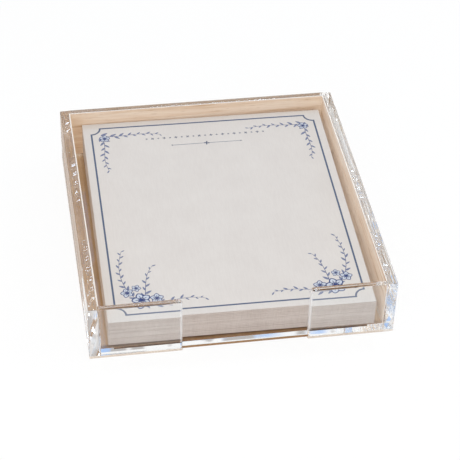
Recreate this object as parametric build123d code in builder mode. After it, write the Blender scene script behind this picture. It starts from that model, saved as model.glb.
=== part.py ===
"""Clear desk tray for loose note sheets, on a wood base and with a wood liner.

Millimetres, +Z up. The origin is on the table under the middle of the tray, and the thumb notch faces -Y.
"""

import os

from build123d import *

os.makedirs("parts", exist_ok=True)

# Note sheets: the pile, which stands higher at the back, and the upper leaves that are made one by one
sheet_width = 139.7
sheet_depth = 162.4
pile_height = 14.1
back_rise = 5.0
leaf_thickness = 0.2
loose_leaf_count = 8

# Room around the sheets, and how the loose pile lies in it: a little to the right and turned, in degrees
side_gap = 4.55
end_gap = 1.3
sheet_shift = 1.1
sheet_turn = -0.7

# Clear sheet stock of the tray
side_wall_thickness = 5.0
end_wall_thickness = 3.2
floor_thickness = 3.3
wall_height = 32.1
edge_break = 0.4

# Thumb notch in the front wall: a little right of the middle, with the floor and the base set back in it
notch_width = 66.0
notch_shift = 1.2
notch_setback = 1.6
lip_corner_radius = 1.6

# Wood base and liner
base_thickness = 1.4
liner_thickness = 0.6
liner_drop = 0.4

# Sizes and places that follow from the sheets and the stock
bay_width = sheet_width + 2 * (side_gap + liner_thickness)
bay_depth = sheet_depth + 2 * end_gap + liner_thickness
tray_width = bay_width + 2 * side_wall_thickness
tray_depth = bay_depth + 2 * end_wall_thickness
floor_top = base_thickness + floor_thickness
pile_top = floor_top + pile_height
sheet_centre_y = -liner_thickness / 2
sill_depth = end_wall_thickness - notch_setback
liner_height = wall_height - floor_thickness - liner_drop
sides = {"left": -1, "right": 1}

from_below = (Align.CENTER, Align.CENTER, Align.MIN)
sheet_side_view = Plane(
    origin=(sheet_shift, sheet_centre_y, 0),
    x_dir=Vector(0, 1, 0).rotate(Axis.Z, sheet_turn),
    z_dir=Vector(1, 0, 0).rotate(Axis.Z, sheet_turn),
)


def finish(piece, name):
    """Label a finished piece and write it as its own file."""
    piece.part.label = name
    export_step(piece.part, f"parts/{name}.step")


def break_top_edges(piece):
    """Take the sharp arris off the four edges of a wall's top face."""
    chamfer(piece.faces().sort_by(Axis.Z)[-1].edges(), edge_break)


# Wood base: the tray's footprint, less the thumb notch
with BuildPart() as base_board:
    with BuildSketch():
        Rectangle(tray_width, tray_depth)
        with Locations((notch_shift, -tray_depth / 2)):
            Rectangle(notch_width, 2 * notch_setback, mode=Mode.SUBTRACT)
    extrude(amount=base_thickness)
finish(base_board, "base_board")

# Clear floor: fills the bay between the four walls and reaches into the notch as a sill
with BuildPart() as floor_plate:
    with BuildSketch(Plane((0, 0, base_thickness))):
        Rectangle(bay_width, bay_depth)
        with Locations((notch_shift, -bay_depth / 2)):
            Rectangle(notch_width, 2 * sill_depth)
    extrude(amount=floor_thickness)
finish(floor_plate, "floor_plate")

# Clear side walls: full depth, outside the end walls
for side, sign in sides.items():
    wall_x = sign * (bay_width + side_wall_thickness) / 2
    with BuildPart(Plane((wall_x, 0, base_thickness))) as side_wall:
        Box(side_wall_thickness, tray_depth, wall_height, align=from_below)
        break_top_edges(side_wall)
    finish(side_wall, f"{side}_wall")

# Clear back wall: between the side walls
back_wall_y = (bay_depth + end_wall_thickness) / 2
with BuildPart(Plane((0, back_wall_y, base_thickness))) as back_wall:
    Box(bay_width, end_wall_thickness, wall_height, align=from_below)
    break_top_edges(back_wall)
finish(back_wall, "back_wall")

# Clear front lips: one each side of the thumb notch, rounded at the notch's mouth
for side, sign in sides.items():
    mouth_x = notch_shift + sign * notch_width / 2
    root_x = sign * bay_width / 2
    with BuildPart() as lip:
        with BuildSketch(Plane.XZ.offset(bay_depth / 2)) as face:
            with Locations(((mouth_x + root_x) / 2, base_thickness + wall_height / 2)):
                Rectangle(abs(root_x - mouth_x), wall_height)
            top_corners = face.vertices().group_by(Axis.Y)[-1]
            mouth_corner = top_corners.sort_by(lambda corner: abs(corner.X))[0]
            fillet(mouth_corner, lip_corner_radius)
        extrude(amount=end_wall_thickness)
    finish(lip, f"{side}_lip")

# Wood liner of the side walls: from the lips to the back wall
for side, sign in sides.items():
    liner_x = sign * (bay_width - liner_thickness) / 2
    with BuildPart(Plane((liner_x, 0, floor_top))) as side_liner:
        Box(liner_thickness, bay_depth, liner_height, align=from_below)
    finish(side_liner, f"{side}_liner")

# Wood liner of the back wall: between the side liners
back_liner_y = (bay_depth - liner_thickness) / 2
with BuildPart(Plane((0, back_liner_y, floor_top))) as back_liner:
    Box(bay_width - 2 * liner_thickness, liner_thickness, liner_height, align=from_below)
finish(back_liner, "back_liner")

# Pile of note sheets on the clear floor, drawn from the side
with BuildPart() as sheet_pile:
    with BuildSketch(sheet_side_view):
        with BuildLine():
            Polyline(
                (-sheet_depth / 2, floor_top),
                (sheet_depth / 2, floor_top),
                (sheet_depth / 2, pile_top + back_rise),
                (-sheet_depth / 2, pile_top),
                close=True,
            )
        make_face()
    extrude(amount=sheet_width / 2, both=True)
finish(sheet_pile, "sheet_pile")

# Upper leaves on the slope of the pile, numbered from the top down
for number in range(loose_leaf_count, 0, -1):
    leaf_top = pile_top + (loose_leaf_count - number + 1) * leaf_thickness
    with BuildPart() as leaf:
        with BuildSketch(sheet_side_view):
            with BuildLine():
                Polyline(
                    (-sheet_depth / 2, leaf_top - leaf_thickness),
                    (sheet_depth / 2, leaf_top - leaf_thickness + back_rise),
                    (sheet_depth / 2, leaf_top + back_rise),
                    (-sheet_depth / 2, leaf_top),
                    close=True,
                )
            make_face()
        extrude(amount=sheet_width / 2, both=True)
    finish(leaf, "top_leaf" if number == 1 else f"leaf_{number:02d}")
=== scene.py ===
"""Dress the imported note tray: clear walls on a wood base, wood liners and a loose pile of printed sheets.

Metres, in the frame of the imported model: +Z up, and the thumb notch faces -Y.
"""

import logging
import math
from collections.abc import Callable, Iterable, Mapping, Sequence
from dataclasses import dataclass, field
from enum import Enum

import bmesh
import bpy
from mathutils import Matrix, Vector, noise


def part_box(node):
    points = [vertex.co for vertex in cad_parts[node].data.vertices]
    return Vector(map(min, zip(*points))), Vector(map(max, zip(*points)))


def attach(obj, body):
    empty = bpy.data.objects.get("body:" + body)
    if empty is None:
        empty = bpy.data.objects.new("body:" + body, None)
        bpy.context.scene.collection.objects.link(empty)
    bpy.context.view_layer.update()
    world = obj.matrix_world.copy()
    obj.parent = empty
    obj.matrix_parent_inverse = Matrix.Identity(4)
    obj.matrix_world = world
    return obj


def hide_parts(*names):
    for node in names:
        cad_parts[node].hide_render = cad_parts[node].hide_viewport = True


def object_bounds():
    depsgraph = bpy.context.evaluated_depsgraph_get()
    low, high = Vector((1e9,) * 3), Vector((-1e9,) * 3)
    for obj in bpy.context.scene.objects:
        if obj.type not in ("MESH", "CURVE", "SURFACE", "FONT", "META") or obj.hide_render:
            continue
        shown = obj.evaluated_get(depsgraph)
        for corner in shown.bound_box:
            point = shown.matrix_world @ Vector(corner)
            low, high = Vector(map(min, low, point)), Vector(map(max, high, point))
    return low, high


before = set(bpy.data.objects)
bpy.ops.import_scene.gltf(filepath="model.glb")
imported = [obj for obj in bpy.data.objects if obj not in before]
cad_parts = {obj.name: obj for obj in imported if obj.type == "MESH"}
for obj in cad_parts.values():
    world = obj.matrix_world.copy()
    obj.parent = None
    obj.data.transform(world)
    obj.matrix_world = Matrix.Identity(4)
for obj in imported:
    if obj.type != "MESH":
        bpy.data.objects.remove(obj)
CAD_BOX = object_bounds()

MM = 0.001
LOG = logging.getLogger("note_tray")

Socket = bpy.types.NodeSocket
Material = bpy.types.Material
Mesh = bpy.types.Mesh
Colour = tuple[float, float, float, float]
Triple = tuple[float, float, float]
Pair = tuple[float, float]


def linear(level: int) -> float:
    """Turn a screen level of 0 to 255 into a linear one."""
    share = level / 255
    return share / 12.92 if share <= 0.04045 else ((share + 0.055) / 1.055) ** 2.4


def tint(red: int, green: int, blue: int) -> Colour:
    """Turn a screen colour of 0 to 255 into the linear colour that shaders take."""
    return (linear(red), linear(green), linear(blue), 1.0)


# Node trees

class Value:
    """A number in a node tree: arithmetic on it adds Math nodes."""

    def __init__(self, board: "Board", socket: Socket) -> None:
        """Wrap a socket of a board."""
        self.board = board
        self.socket = socket

    def math(self, operation: str, *others: "Feed") -> "Value":
        """Feed this number and then the others to one Math node."""
        return self.board.math(operation, self, *others)

    def __add__(self, other: "Feed") -> "Value":
        """This number plus another."""
        return self.math("ADD", other)

    def __sub__(self, other: "Feed") -> "Value":
        """This number less another."""
        return self.math("SUBTRACT", other)

    def __rsub__(self, other: "Feed") -> "Value":
        """Another number less this one."""
        return self.board.math("SUBTRACT", other, self)

    def __mul__(self, other: "Feed") -> "Value":
        """This number times another."""
        return self.math("MULTIPLY", other)

    def __truediv__(self, other: "Feed") -> "Value":
        """This number divided by another."""
        return self.math("DIVIDE", other)

    def __rtruediv__(self, other: "Feed") -> "Value":
        """Another number divided by this one."""
        return self.board.math("DIVIDE", other, self)

    def __pow__(self, other: "Feed") -> "Value":
        """This number to the power of another."""
        return self.math("POWER", other)

    def __abs__(self) -> "Value":
        """This number without its sign."""
        return self.math("ABSOLUTE")

    __radd__ = __add__
    __rmul__ = __mul__

    def larger(self, other: "Feed") -> "Value":
        """The larger of this number and another."""
        return self.math("MAXIMUM", other)

    def between(self, low: float, high: float) -> "Value":
        """A smooth step from 0 at one bound to 1 at the other."""
        feeds = {"Value": self, "From Min": low, "From Max": high}
        return self.board.value("ShaderNodeMapRange", {"interpolation_type": "SMOOTHSTEP"}, feeds)


Feed = Value | Socket | Material | float | int | str | tuple


class Board:
    """A node tree that is filled through one method."""

    def __init__(self, tree: bpy.types.NodeTree) -> None:
        """Take over a tree."""
        self.tree = tree

    def node(
        self,
        kind: str,
        settings: Mapping[str, object] | None = None,
        feeds: Mapping[str | int, Feed] | None = None,
    ) -> bpy.types.Node:
        """Add one node.

        Args:
            kind: the node's type name.
            settings: properties of the node itself.
            feeds: values or links for its inputs, by name or by number.

        Returns:
            The node.
        """
        made = self.tree.nodes.new(kind)
        for name, setting in (settings or {}).items():
            setattr(made, name, setting)
        for key, feed in (feeds or {}).items():
            source = feed.socket if isinstance(feed, Value) else feed
            if isinstance(source, Socket):
                self.tree.links.new(source, made.inputs[key])
            else:
                made.inputs[key].default_value = source
        return made

    def value(
        self,
        kind: str,
        settings: Mapping[str, object] | None = None,
        feeds: Mapping[str | int, Feed] | None = None,
        output: int | str = 0,
    ) -> Value:
        """Add one node and take one of its outputs as a number."""
        return Value(self, self.node(kind, settings, feeds).outputs[output])

    def math(self, operation: str, *numbers: Feed) -> Value:
        """Add one Math node."""
        return self.value("ShaderNodeMath", {"operation": operation}, dict(enumerate(numbers)))

    def combine(self, x: Feed, y: Feed, z: Feed) -> Socket:
        """Make a vector of three numbers."""
        return self.node("ShaderNodeCombineXYZ", None, {0: x, 1: y, 2: z}).outputs[0]

    def split(self, vector: Socket) -> list[Value]:
        """Take a vector apart into three numbers."""
        parts = self.node("ShaderNodeSeparateXYZ", None, {0: vector})
        return [Value(self, part) for part in parts.outputs]

    def blend(self, share: Feed, first: Feed, second: Feed) -> Socket:
        """Mix two colours."""
        settings = {"data_type": "RGBA", "blend_type": "MIX"}
        return self.node("ShaderNodeMix", settings, {0: share, 6: first, 7: second}).outputs[2]

    def mix(self, share: Feed, first: Socket, second: Socket) -> Socket:
        """Mix two shaders."""
        return self.node("ShaderNodeMixShader", None, {0: share, 1: first, 2: second}).outputs[0]

    def noise(
        self, where: Socket, scale: float = 1.0, detail: float = 2.0, rough: float = 0.5, warp: float = 0.0
    ) -> Value:
        """Add a noise texture, in features for each unit of the vector."""
        feeds = {"Vector": where, "Scale": scale, "Detail": detail, "Roughness": rough, "Distortion": warp}
        return self.value("ShaderNodeTexNoise", None, feeds)


class Paint(Board):
    """The node tree of a new material."""

    def __init__(self, name: str) -> None:
        """Start a material.

        Args:
            name: the material's name.
        """
        self.material = bpy.data.materials.new(name)
        self.material.use_nodes = True
        super().__init__(self.material.node_tree)
        self.tree.nodes.clear()

    def place(self, scale: Triple = (1.0, 1.0, 1.0)) -> Socket:
        """Object coordinates, stretched by a factor for each axis."""
        coordinates = self.node("ShaderNodeTexCoord").outputs["Object"]
        return self.node("ShaderNodeMapping", None, {"Vector": coordinates, "Scale": scale}).outputs[0]

    def axes(self) -> list[Value]:
        """Object coordinates as three numbers."""
        return self.split(self.place())

    def attribute(self, name: str) -> Value:
        """A number that the mesh carries under that name."""
        return self.value("ShaderNodeAttribute", {"attribute_name": name}, output="Fac")

    def bump(self, height: Feed, strength: float, depth: float) -> Socket:
        """A normal that follows a height."""
        feeds = {"Height": height, "Strength": strength, "Distance": depth}
        return self.node("ShaderNodeBump", None, feeds).outputs[0]

    def surface(self, **feeds: Feed) -> Socket:
        """Add a Principled surface; an underscore in a name stands for a space."""
        named = {name.replace("_", " "): feed for name, feed in feeds.items()}
        return self.node("ShaderNodeBsdfPrincipled", None, named).outputs[0]

    def letting_through(self, shader: Socket, veil: Colour) -> Socket:
        """Let the light of lamps and surroundings pass a surface.

        Args:
            shader: the surface as the eye sees it.
            veil: the colour that the passing light takes on.

        Returns:
            The mixed shader.
        """
        through = self.node("ShaderNodeBsdfTransparent", None, {"Color": veil}).outputs[0]
        rays = self.node("ShaderNodeLightPath").outputs
        for ray in ("Is Diffuse Ray", "Is Shadow Ray"):
            shader = self.mix(rays[ray], shader, through)
        return shader

    def finish(self, shader: Socket) -> Material:
        """Send a shader to the output."""
        self.node("ShaderNodeOutputMaterial", None, {"Surface": shader})
        return self.material


class Recipe(Board):
    """A geometry node tree with named inputs."""

    def __init__(self, name: str) -> None:
        """Start a tree.

        Args:
            name: the tree's name.
        """
        super().__init__(bpy.data.node_groups.new(name, "GeometryNodeTree"))
        for way in ("INPUT", "OUTPUT"):
            self.tree.interface.new_socket("Geometry", in_out=way, socket_type="NodeSocketGeometry")
        self.entry = self.tree.nodes.new("NodeGroupInput")
        self.identifiers: dict[str, str] = {}

    def knob(self, name: str, kind: str = "Float") -> Value:
        """Add a named input.

        Args:
            name: its name.
            kind: the kind of socket.

        Returns:
            What is set on it.
        """
        item = self.tree.interface.new_socket(name, in_out="INPUT", socket_type=f"NodeSocket{kind}")
        self.identifiers[name] = item.identifier
        return Value(self, self.entry.outputs[name])

    def step(self, kind: str, settings: Mapping[str, object] | None = None, **feeds: Feed) -> Socket:
        """Add a geometry node; an underscore in an input's name stands for a space."""
        named = {name.replace("_", " "): feed for name, feed in feeds.items()}
        return self.node(f"GeometryNode{kind}", settings, named).outputs[0]

    def moved(self, geometry: Socket, offset: Socket) -> Socket:
        """Shift the points of a geometry."""
        return self.step("SetPosition", None, Geometry=geometry, Offset=offset)

    def joined(self, parts: Iterable[Socket]) -> Socket:
        """Put several geometries into one.

        Args:
            parts: the geometries.

        Returns:
            All of them.
        """
        join = self.node("GeometryNodeJoinGeometry")
        for part in parts:
            self.tree.links.new(part, join.inputs[0])
        return join.outputs[0]

    def random(self, low: Feed, high: Feed, seed: Feed) -> Value:
        """A random number for each point or instance."""
        return self.value("FunctionNodeRandomValue", None, {2: low, 3: high, 8: seed}, output=1)

    def stored(self, name: str) -> Value:
        """A number that was stored on the points under a name."""
        return Value(self, self.step("InputNamedAttribute", None, Name=name))

    def store(self, geometry: Socket, name: str, number: Feed) -> Socket:
        """Store a number on the points under a name."""
        return self.step("StoreNamedAttribute", None, Geometry=geometry, Name=name, Value=number)

    def lay(self, geometry: Socket, height: Feed, rise: Feed, depth: Feed, wave: Feed) -> Socket:
        """Lift what is drawn flat about a sheet's middle onto the sloping, slightly wavy sheet.

        Args:
            geometry: what is lifted.
            height: the sheet's height at its front edge.
            rise: how much higher the back edge is.
            depth: the sheet's depth.
            wave: the height of the waves.

        Returns:
            The lifted geometry.
        """
        across, along, _ = self.split(self.step("InputPosition"))
        ripple = self.noise(self.combine(across, along, 0.0), scale=14.0, detail=1.0) - 0.5
        lift = height + rise * (along / depth + 0.5) + wave * ripple
        return self.moved(geometry, self.combine(0.0, 0.0, lift))

    def close(self, geometry: Socket) -> None:
        """End the tree: real geometry, its material and the output.

        Args:
            geometry: what the tree has made.
        """
        material = self.knob("Material", "Material")
        real = self.step("RealizeInstances", None, Geometry=geometry)
        dressed = self.step("SetMaterial", None, Geometry=real, Material=material)
        self.node("NodeGroupOutput", None, {0: dressed})

    def run(self, base: Mesh, **settings: object) -> Mesh:
        """Run the tree on a mesh; an underscore in an input's name stands for a space.

        Args:
            base: the mesh that enters the tree.
            settings: the named inputs.

        Returns:
            The result as a plain mesh, its faces outwards.
        """
        carrier = bpy.data.objects.new(self.tree.name, base)
        bpy.context.scene.collection.objects.link(carrier)
        modifier = carrier.modifiers.new(self.tree.name, "NODES")
        modifier.node_group = self.tree
        for name, setting in settings.items():
            modifier[self.identifiers[name.replace("_", " ")]] = setting
        mesh = evaluated(carrier)
        bpy.data.objects.remove(carrier)
        bpy.data.meshes.remove(base)
        return faced(mesh)


# Meshes

def evaluated(carrier: bpy.types.Object) -> Mesh:
    """The mesh of an object with its modifiers carried out."""
    graph = bpy.context.evaluated_depsgraph_get()
    return bpy.data.meshes.new_from_object(carrier.evaluated_get(graph))


def faced(mesh: Mesh) -> Mesh:
    """Turn all the faces of a mesh outwards.

    Args:
        mesh: the mesh, which is changed.

    Returns:
        The same mesh.
    """
    work = bmesh.new()
    work.from_mesh(mesh)
    bmesh.ops.recalc_face_normals(work, faces=work.faces)
    work.to_mesh(mesh)
    work.free()
    return mesh


def dressed(mesh: Mesh, material: Material) -> Mesh:
    """Give a mesh one material.

    Args:
        mesh: the mesh, which is changed.
        material: its only material.

    Returns:
        The same mesh.
    """
    mesh.materials.clear()
    mesh.materials.append(material)
    return mesh


def prism(
    outline: Sequence[Pair], low: float, high: float, place: Callable[[float, float, float], Triple]
) -> Mesh:
    """Extrude an outline into a closed solid.

    Args:
        outline: the corners, in order.
        low: where the extrusion starts.
        high: where it ends.
        place: puts an outline's two coordinates and the height into x, y and z.

    Returns:
        The solid's mesh, its faces outwards.
    """
    count = len(outline)
    points = [place(*corner, level) for level in (low, high) for corner in outline]
    ends = [tuple(range(count)), tuple(range(count, 2 * count))]
    sides = [(i, (i + 1) % count, (i + 1) % count + count, i + count) for i in range(count)]
    mesh = bpy.data.meshes.new("prism")
    mesh.from_pydata(points, [], ends + sides)
    return faced(mesh)


def merged(first: Mesh, second: Mesh) -> Mesh:
    """Put two meshes into one.

    Args:
        first: a mesh, which is used up.
        second: another, which is used up too.

    Returns:
        The new mesh.
    """
    work = bmesh.new()
    for mesh in (first, second):
        work.from_mesh(mesh)
        bpy.data.meshes.remove(mesh)
    both = bpy.data.meshes.new("merged")
    work.to_mesh(both)
    work.free()
    return both


def fully(start: Vector, end: Vector) -> float:
    """Break an edge to the full width, whatever its ends."""
    return 1.0


def softened(
    mesh: Mesh, width: float, segments: int, share: Callable[[Vector, Vector], float] = fully
) -> bpy.types.Object:
    """Put a mesh in the scene with its sharp edges broken.

    Args:
        mesh: the mesh with sharp edges.
        width: how far a fully broken edge reaches.
        segments: the steps of its rounding.
        share: gives each edge's share of that width, from the edge's two ends.

    Returns:
        The object, which still carries the modifier.
    """
    carrier = bpy.data.objects.new(mesh.name, mesh)
    bpy.context.scene.collection.objects.link(carrier)
    shares = [share(*(mesh.vertices[end].co for end in edge.vertices)) for edge in mesh.edges]
    mesh.attributes.new("bevel_weight_edge", "FLOAT", "EDGE").data.foreach_set("value", shares)
    bevel = carrier.modifiers.new("broken_edges", "BEVEL")
    bevel.width = width
    bevel.segments = segments
    bevel.limit_method = "WEIGHT"
    return carrier


def seat(mesh: Mesh, name: str, body: str, nodes: Iterable[str] = ()) -> None:
    """Make a finished mesh a piece of the object.

    Args:
        mesh: the finished mesh, in place.
        name: the piece's name.
        body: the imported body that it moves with.
        nodes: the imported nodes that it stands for.
    """
    mesh.name = name
    piece = bpy.data.objects.new(name, mesh)
    bpy.context.scene.collection.objects.link(piece)
    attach(piece, body)
    stands_for = list(nodes)
    if stands_for:
        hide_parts(*stands_for)
    faces = len(mesh.polygons)
    LOG.info("%s: %d faces, moves with %s, stands for %d nodes", name, faces, body, len(stands_for))


# Finishes

@dataclass(frozen=True)
class ClearAcrylic:
    """Polished clear sheet, which lets the lamps' light through to what lies behind it.

    The rims are cut and partly scraped, the outer faces are a little wavy and the left one is planed. The
    front ends of the side walls are faceted: the left end is partly matt from the saw, and the right one has
    a cool tint on its facets, a painted reflection of bluish light. The upright rims at the notch are faintly
    matt.
    """

    top: float
    side: float
    front: float
    mouths: Pair
    wall: float = 5.0 * MM
    body: Colour = (0.985, 0.993, 0.996, 1.0)
    painted_cool_reflection: Colour = (0.58, 0.66, 0.78, 1.0)
    frost: Colour = (0.97, 0.98, 1.0, 1.0)
    ior: float = 1.49
    polish: float = 0.004
    smudge: float = 0.012
    cut: float = 0.25
    matt: float = 0.4
    sawn_share: float = 0.7
    mouth_share: float = 0.4
    wave: float = 1.8 * MM
    plane_depth: float = 1.5 * MM
    plane_rows: float = 200.0
    plane_wander: float = 1.6
    facet: float = 4.4 * MM
    rising_facets: Pair = (90.0, 52.0)
    falling_facets: Pair = (-125.0, 36.0)
    chatter: float = 0.3 * MM
    chatter_pitch: float = 8.0 * MM
    chatter_slant: float = 0.6
    half_fade: float = 10.0 * MM

    def zigzag(self, x: Value, z: Value, rows: Pair) -> Value:
        """A zigzag from 0 to 0.5 and back, with so many rows for each metre of x and of z."""
        return abs((z * rows[1] + x * rows[0]).math("FRACT") - 0.5)

    def roughness(self, paint: Paint, on_top: Value, on_side: Value, scraped: Value) -> Value:
        """Faint wipe marks all over and saw streaks along the cut rims.

        Args:
            paint: the material's tree.
            on_top: 1 on the rims.
            on_side: 1 on the side walls.
            scraped: 1 where a rim is scraped smooth.

        Returns:
            The roughness.
        """
        marks = paint.noise(paint.place((40.0, 90.0, 60.0)), detail=4.0, warp=0.8).between(0.52, 0.75)
        deep, across = (paint.noise(paint.place(grain)) for grain in ((620.0, 9.0, 0.0), (9.0, 620.0, 0.0)))
        streaks = (deep * on_side + across * (1.0 - on_side)).between(0.48, 0.6)
        return marks * self.smudge + streaks * on_top * (1.0 - scraped) * self.cut + self.polish

    def outer_relief(self, paint: Paint, x: Value, z: Value, left_half: Value) -> Value:
        """Waves on both outer side faces and planing marks on the left one.

        Args:
            paint: the material's tree.
            x: the place across the tray.
            z: the height.
            left_half: 1 on the tray's left half.

        Returns:
            The height of the relief.
        """
        outer = abs(x).between(self.side - 0.4 * MM, self.side - 0.1 * MM)
        waves = paint.noise(paint.place((0.0, 10.0, 150.0)), detail=1.0) * outer * self.wave
        planed = paint.noise(paint.place((0.0, 14.0, 60.0))) * self.plane_wander - z * self.plane_rows
        return waves + planed.math("FRACT") * outer * left_half * self.plane_depth

    def at_mouths(self, x: Value, y: Value, z: Value) -> Value:
        """How matt the upright rims of the lips are beside the notch.

        Args:
            x: the place across the tray.
            y: the place along it.
            z: the height.

        Returns:
            The matt share.
        """
        left, right = self.mouths
        off = abs(abs(x - (left + right) / 2) - (right - left) / 2)
        on_lip = y.between(self.front + 4.0 * MM, self.front + 3.4 * MM) * z.between(5.0 * MM, 6.0 * MM)
        return off.between(1.5 * MM, 0.7 * MM) * on_lip * self.mouth_share

    def material(self) -> Material:
        """Build the clear surface with its marks.

        Returns:
            The material.
        """
        paint = Paint("clear_acrylic")
        x, y, z = paint.axes()
        left_half, right_half = (x.between(0.0, sign * self.half_fade) for sign in (-1, 1))
        on_side = abs(x).between(self.side - self.wall - 1.0 * MM, self.side - self.wall)
        on_end = y.between(self.front + 0.4 * MM, self.front + 0.1 * MM) * on_side
        on_top = z.between(self.top - 0.5 * MM, self.top - 0.1 * MM)
        inner = abs(x).between(self.side - 1.6 * MM, self.side - 2.6 * MM)
        patches = paint.noise(paint.place((25.0, 16.0, 0.0))).between(0.48, 0.54)
        scraped = patches * on_top * on_side * inner
        rising, falling = (self.zigzag(x, z, rows) for rows in (self.rising_facets, self.falling_facets))
        chatter = (y + abs(x) * self.chatter_slant) * (math.tau / self.chatter_pitch)
        relief = self.outer_relief(paint, x, z, left_half) + (rising + falling) * on_end * self.facet
        relief = relief + chatter.math("SINE") * scraped * self.chatter
        normal = paint.bump(relief, 1.0, 1.0)
        clear = paint.surface(
            # The cool tint on the right end's facets is a painted reflection of bluish light.
            Base_Color=paint.blend(rising.between(0.08, 0.3) * on_end * right_half, self.body, self.painted_cool_reflection),
            Roughness=self.roughness(paint, on_top, on_side, scraped),
            IOR=self.ior,
            Transmission_Weight=1.0,
            Normal=normal,
        )
        matt = paint.surface(Base_Color=self.frost, Roughness=self.matt, Normal=normal)
        sawn = falling.between(0.1, 0.2) * on_end * left_half * self.sawn_share
        mixed = paint.mix(sawn.larger(self.at_mouths(x, y, z)), clear, matt)
        return paint.finish(paint.letting_through(mixed, self.body))


class Grain(Enum):
    """Which way the wood's grain runs, as the stretch of its pattern on each axis."""

    ACROSS = (24.0, 420.0, 420.0)
    DEEP = (420.0, 24.0, 420.0)


@dataclass(frozen=True)
class WoodVeneer:
    """Light oiled wood with streaks, soft bands and fine pores along the grain.

    A thin veneer has a veil: the colour of the light that shines through each of its two faces. A base board
    has a front band of painted shade with a painted shadow line behind it, a pale front edge, and a pale
    strip of painted light along its right side. A liner may have a paler foot, which is painted light, a pale
    cut edge at its crest, and a darker glued side, given as an axis and a place on it.
    """

    name: str
    grain: Grain
    veil: Colour | None = None
    pale: Colour = tint(246, 222, 198)
    mid: Colour = tint(234, 204, 174)
    deep: Colour = tint(206, 168, 130)
    pore: Colour = tint(150, 110, 74)
    pore_stretch: float = 5.0
    pore_share: float = 0.45
    relief: float = 0.06 * MM
    front: float | None = None
    painted_front_shade: Colour = tint(158, 116, 76)
    painted_front_shade_reach: float = 9.0 * MM
    painted_shadow: Colour = tint(104, 68, 38)
    pale_edge_and_painted_light: Colour = tint(252, 247, 241)
    painted_light_from: float = 74.0 * MM
    arris_share: float = 0.6
    foot: Colour | None = None
    foot_share: float = 0.65
    crest: float | None = None
    crest_share: float = 0.85
    glued: tuple[int, float] | None = None

    def fronted(self, paint: Paint, wood: Socket, front: float, streaks: Value, depth: Value) -> Socket:
        """Painted shade, a painted shadow line, a pale edge and a strip of painted light on a base board.

        Args:
            paint: the material's tree.
            wood: the plain wood's colour.
            front: where the board's front edge is.
            streaks: the grain's streaks.
            depth: how deep the wood's tone is.

        Returns:
            The colour with the front edge's marks.
        """
        x, y, _ = paint.axes()
        # Painted shade: the base's front band is darkened where the lips and the pile's foot shade it.
        edge = y.between(front + self.painted_front_shade_reach, front + self.painted_front_shade_reach - 3.0 * MM)
        edge = edge * y.between(front + 0.2 * MM, front + 0.8 * MM)
        wood = paint.blend(edge * (streaks * 0.5 + 0.6), wood, self.painted_front_shade)
        # Painted shadow: a dark line on the base under the pile's front edge, faint under the right lip.
        pile_foot_shadow = y.between(front + 5.2 * MM, front + 6.2 * MM) * y.between(front + 7.4 * MM, front + 6.8 * MM)
        pile_foot_shadow = pile_foot_shadow * (x.between(44.0 * MM, 34.0 * MM) * 0.8 + 0.2)
        wood = paint.blend(pile_foot_shadow * (streaks * 0.5 + 0.5), wood, self.painted_shadow)
        arris = y.between(front + 0.8 * MM, front + 0.2 * MM) * self.arris_share
        wood = paint.blend(arris, wood, self.pale_edge_and_painted_light)
        # Painted light: a pale strip on the base under the right wall, so that the wall's rim reads bright.
        rim = x.between(self.painted_light_from, self.painted_light_from + 1.5 * MM)
        rim = rim * (y.between(front, 20.0 * MM) * 0.3 + 0.7)
        return paint.blend(rim * (1.35 - depth).math("MINIMUM", 0.97), wood, self.pale_edge_and_painted_light)

    def material(self) -> Material:
        """Streaks over bands, darkened by pores, with a little relief.

        Returns:
            The material.
        """
        paint = Paint(self.name)
        along, places = paint.place(self.grain.value), paint.axes()
        streaks = paint.noise(along, detail=5.0, rough=0.62, warp=0.5)
        bands = paint.noise(along, scale=0.28, warp=0.9)
        pores = paint.noise(along, scale=self.pore_stretch, rough=0.7).between(0.60, 0.72)
        depth = (streaks * 0.65 + bands * 0.35).between(0.30, 0.72)
        wood = paint.blend(depth.between(0.0, 0.6), self.pale, self.mid)
        wood = paint.blend(depth.between(0.55, 1.0), wood, self.deep)
        wood = paint.blend(pores * self.pore_share, wood, self.pore)
        if self.front is not None:
            wood = self.fronted(paint, wood, self.front, streaks, depth)
        if self.foot is not None:
            # Painted light: paler towards the bottom, against the shade low in the narrow gap.
            wood = paint.blend(places[2].between(28.0 * MM, 8.0 * MM) * self.foot_share, wood, self.foot)
        if self.glued is not None:
            axis, side = self.glued
            glue = abs(places[axis] - side).between(0.3 * MM, 0.1 * MM)
            wood = paint.blend(glue * (streaks * 0.7 + 0.2), wood, self.pore)
        if self.crest is not None:
            crest = places[2].between(self.crest - 0.3 * MM, self.crest - 0.1 * MM)
            wood = paint.blend(crest * self.crest_share, wood, self.pale_edge_and_painted_light)
        rough = depth * 0.12 + pores * 0.15 + 0.42
        normal = paint.bump(depth * 0.4 - pores, 0.5, self.relief)
        face = paint.surface(Base_Color=wood, Roughness=rough, Normal=normal)
        return paint.finish(paint.letting_through(face, self.veil) if self.veil else face)


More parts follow.
